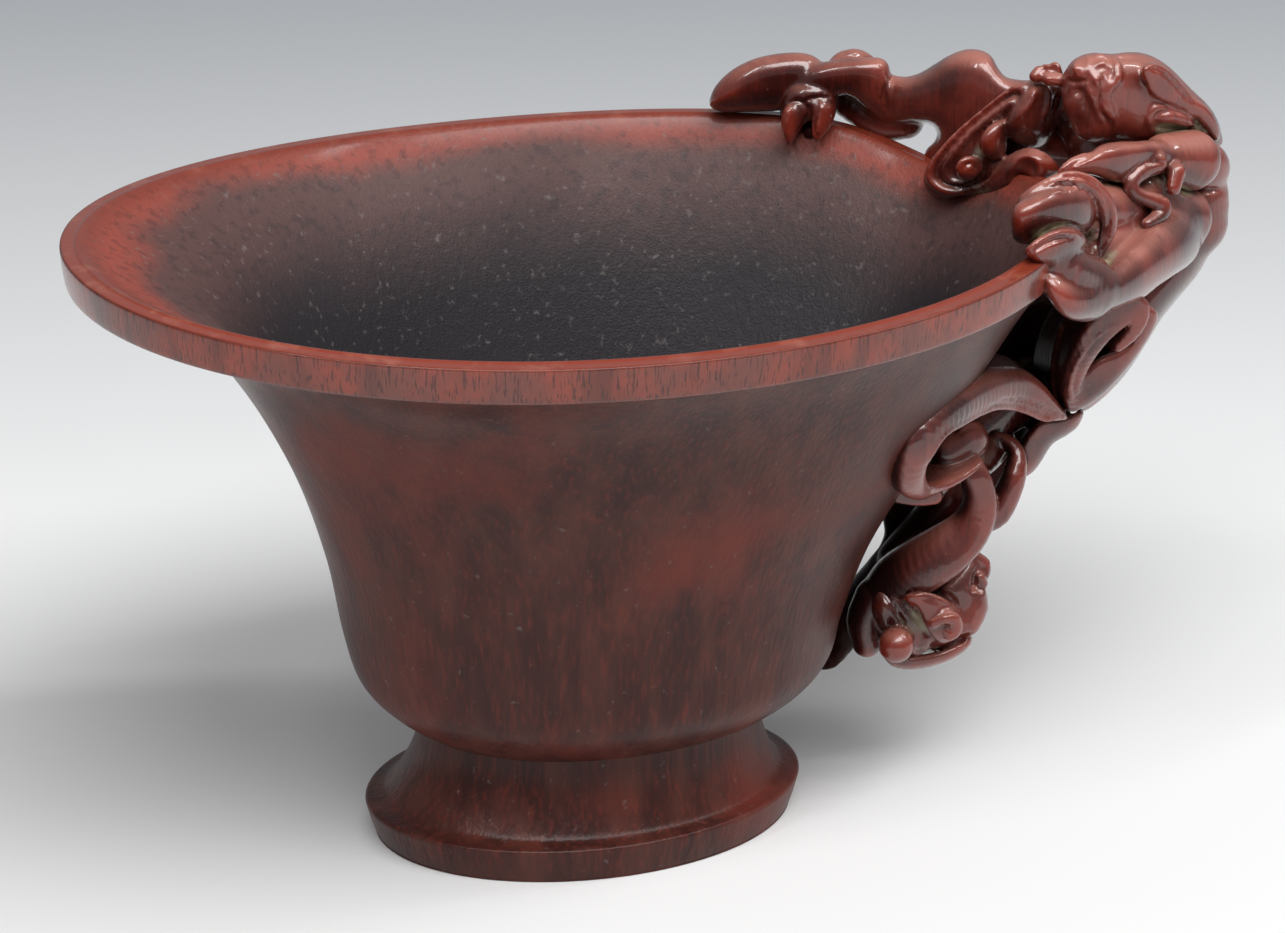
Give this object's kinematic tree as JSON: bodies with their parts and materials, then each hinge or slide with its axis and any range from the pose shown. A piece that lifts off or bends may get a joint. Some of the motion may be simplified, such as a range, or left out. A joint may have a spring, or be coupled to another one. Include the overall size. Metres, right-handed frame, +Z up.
{
  "type": "rhinoceros horn libation cup",
  "caption": "Oval flared horn cup on a flanged foot, with an openwork handle of carved chilong dragons.",
  "frame": {"origin": "centre of the bounding box in plan, on the surface that the foot stands on", "axes": "+Z up through the mouth, +X towards the dragon handle, the spout to -X"},
  "size_m": [0.1578, 0.0946, 0.0945],
  "materials": {
    "bowl_horn": "polished dark horn with fine fibres",
    "carved_horn": "waxed glossy reddish-brown horn"
  },
  "bodies": {
    "root": {"bowl": "bowl_horn", "climbing_dragon_body": "carved_horn", "climbing_dragon_ear": "carved_horn", "climbing_dragon_head": "carved_horn", "climbing_dragon_jaw": "carved_horn", "climbing_dragon_leg": "carved_horn", "climbing_dragon_paw": "carved_horn", "crest_dragon_flank": "carved_horn", "crest_dragon_forearm": "carved_horn", "crest_dragon_haunch": "carved_horn", "crest_dragon_head": "carved_horn", "crest_dragon_mane": "carved_horn", "crest_dragon_paw": "carved_horn", "crest_dragon_shoulder": "carved_horn", "far_lower_curl": "carved_horn", "far_upper_curl": "carved_horn", "foot": "bowl_horn", "handle_root": "carved_horn", "handle_trunk": "carved_horn", "lower_tail_curl": "carved_horn", "rim_dragon_body": "carved_horn", "rim_dragon_foreleg": "carved_horn", "rim_dragon_haunch": "carved_horn", "rim_dragon_head": "carved_horn", "rim_dragon_hip": "carved_horn", "rim_dragon_mane": "carved_horn", "rim_dragon_shoulder": "carved_horn", "tail_curl_knob": "carved_horn", "tail_strip": "carved_horn", "upper_tail_curl": "carved_horn"}
  },
  "joints": []
}
